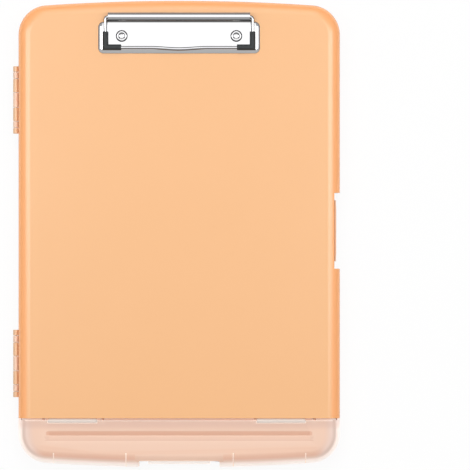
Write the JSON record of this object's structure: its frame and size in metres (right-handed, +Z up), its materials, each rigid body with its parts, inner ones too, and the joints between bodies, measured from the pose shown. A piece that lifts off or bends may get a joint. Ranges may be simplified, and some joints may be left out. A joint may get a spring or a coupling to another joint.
{
  "type": "storage clipboard box",
  "caption": "Flat hinged storage case with a wire clip on its lid, a side latch, and a pen compartment under a frosted flip-up lid.",
  "frame": {"origin": "on the flat back, in the middle of the shells' width and length", "axes": "+X to the right across the case, +Y along its length towards the clip, +Z up through the lids"},
  "size_m": [0.2431, 0.3467, 0.0288],
  "materials": {
    "peach_plastic": "fine satin grain, opaque polypropylene",
    "frosted_plastic": "frosted translucent polypropylene",
    "chrome": "bright nickel plating",
    "steel": "plain drawn steel",
    "black_rubber": "matte vinyl sleeve"
  },
  "bodies": {
    "base": {"base_tray": "peach_plastic", "upper_hinge_pin": "steel", "lower_hinge_pin": "steel", "latch_pin": "steel", "left_pen_hinge_pin": "steel", "right_pen_hinge_pin": "steel"},
    "lid": {"main_lid": "peach_plastic", "clip_plate": "chrome", "clip_rivets": "chrome", "rivet_washers": "steel"},
    "bail": {"clip_wire": "chrome", "left_grip_sleeve": "black_rubber", "right_grip_sleeve": "black_rubber"},
    "pen_lid": {"pen_lid": "frosted_plastic"},
    "latch": {"latch_flap": "peach_plastic"}
  },
  "joints": [
    {"name": "lid_hinge", "type": "hinge", "parent": "base", "child": "lid", "pos_m": [-0.12165, 0, 0.0122], "axis": [0, -1, 0], "range_deg": [0, 175]},
    {"name": "pen_lid_hinge", "type": "hinge", "parent": "base", "child": "pen_lid", "pos_m": [0, -0.13885, 0.0203], "axis": [-1, 0, 0], "range_deg": [0, 95]},
    {"name": "latch_hinge", "type": "hinge", "parent": "base", "child": "latch", "pos_m": [0.11365, 0.0024, 0.0038], "axis": [0, 1, 0], "range_deg": [0, 90]},
    {"name": "bail_hinge", "type": "hinge", "parent": "lid", "child": "bail", "pos_m": [0, 0.1609, 0.02545], "axis": [-1, 0, 0], "range_deg": [0, 75], "stiffness_Nm_per_rad": 0.02, "springref_deg": -28.65}
  ]
}
